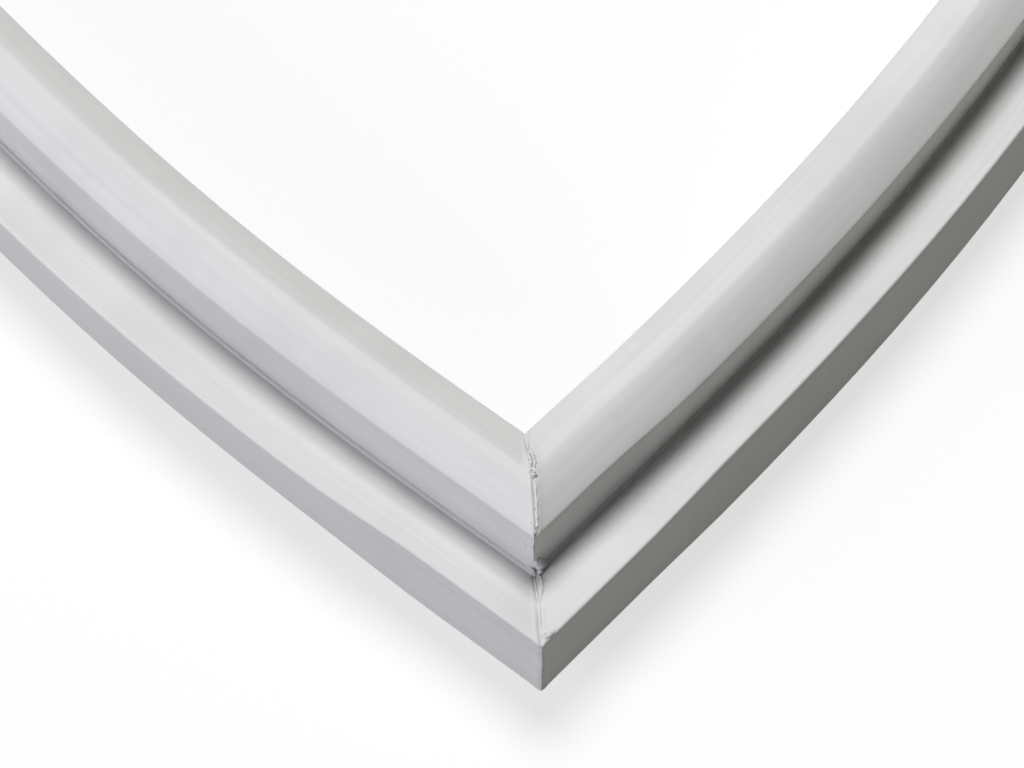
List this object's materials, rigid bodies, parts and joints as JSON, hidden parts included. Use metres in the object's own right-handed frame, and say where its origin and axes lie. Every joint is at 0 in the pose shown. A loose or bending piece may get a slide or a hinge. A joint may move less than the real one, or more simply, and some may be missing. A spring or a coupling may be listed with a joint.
{
  "type": "refrigerator door gasket",
  "caption": "Closed soft seal frame with mitred welded corners, a raised magnetic bulb, an outer hollow flange and a push-in barbed rib.",
  "frame": {"origin": "centre of the bounding box in plan, at the level the gasket lies on: the tip of the barbed rib", "axes": "+Z out of the magnet face, which meets the cabinet; long sides along Y, short sides along X, -Y the door's bottom side"},
  "size_m": [0.46, 0.5314, 0.0361],
  "materials": {
    "soft_vinyl": "satin",
    "ferrite_rubber": "matte"
  },
  "bodies": {
    "root": {"gasket": "soft_vinyl", "magnet_right": "ferrite_rubber", "magnet_top": "ferrite_rubber", "magnet_left": "ferrite_rubber", "magnet_bottom": "ferrite_rubber"}
  },
  "joints": []
}
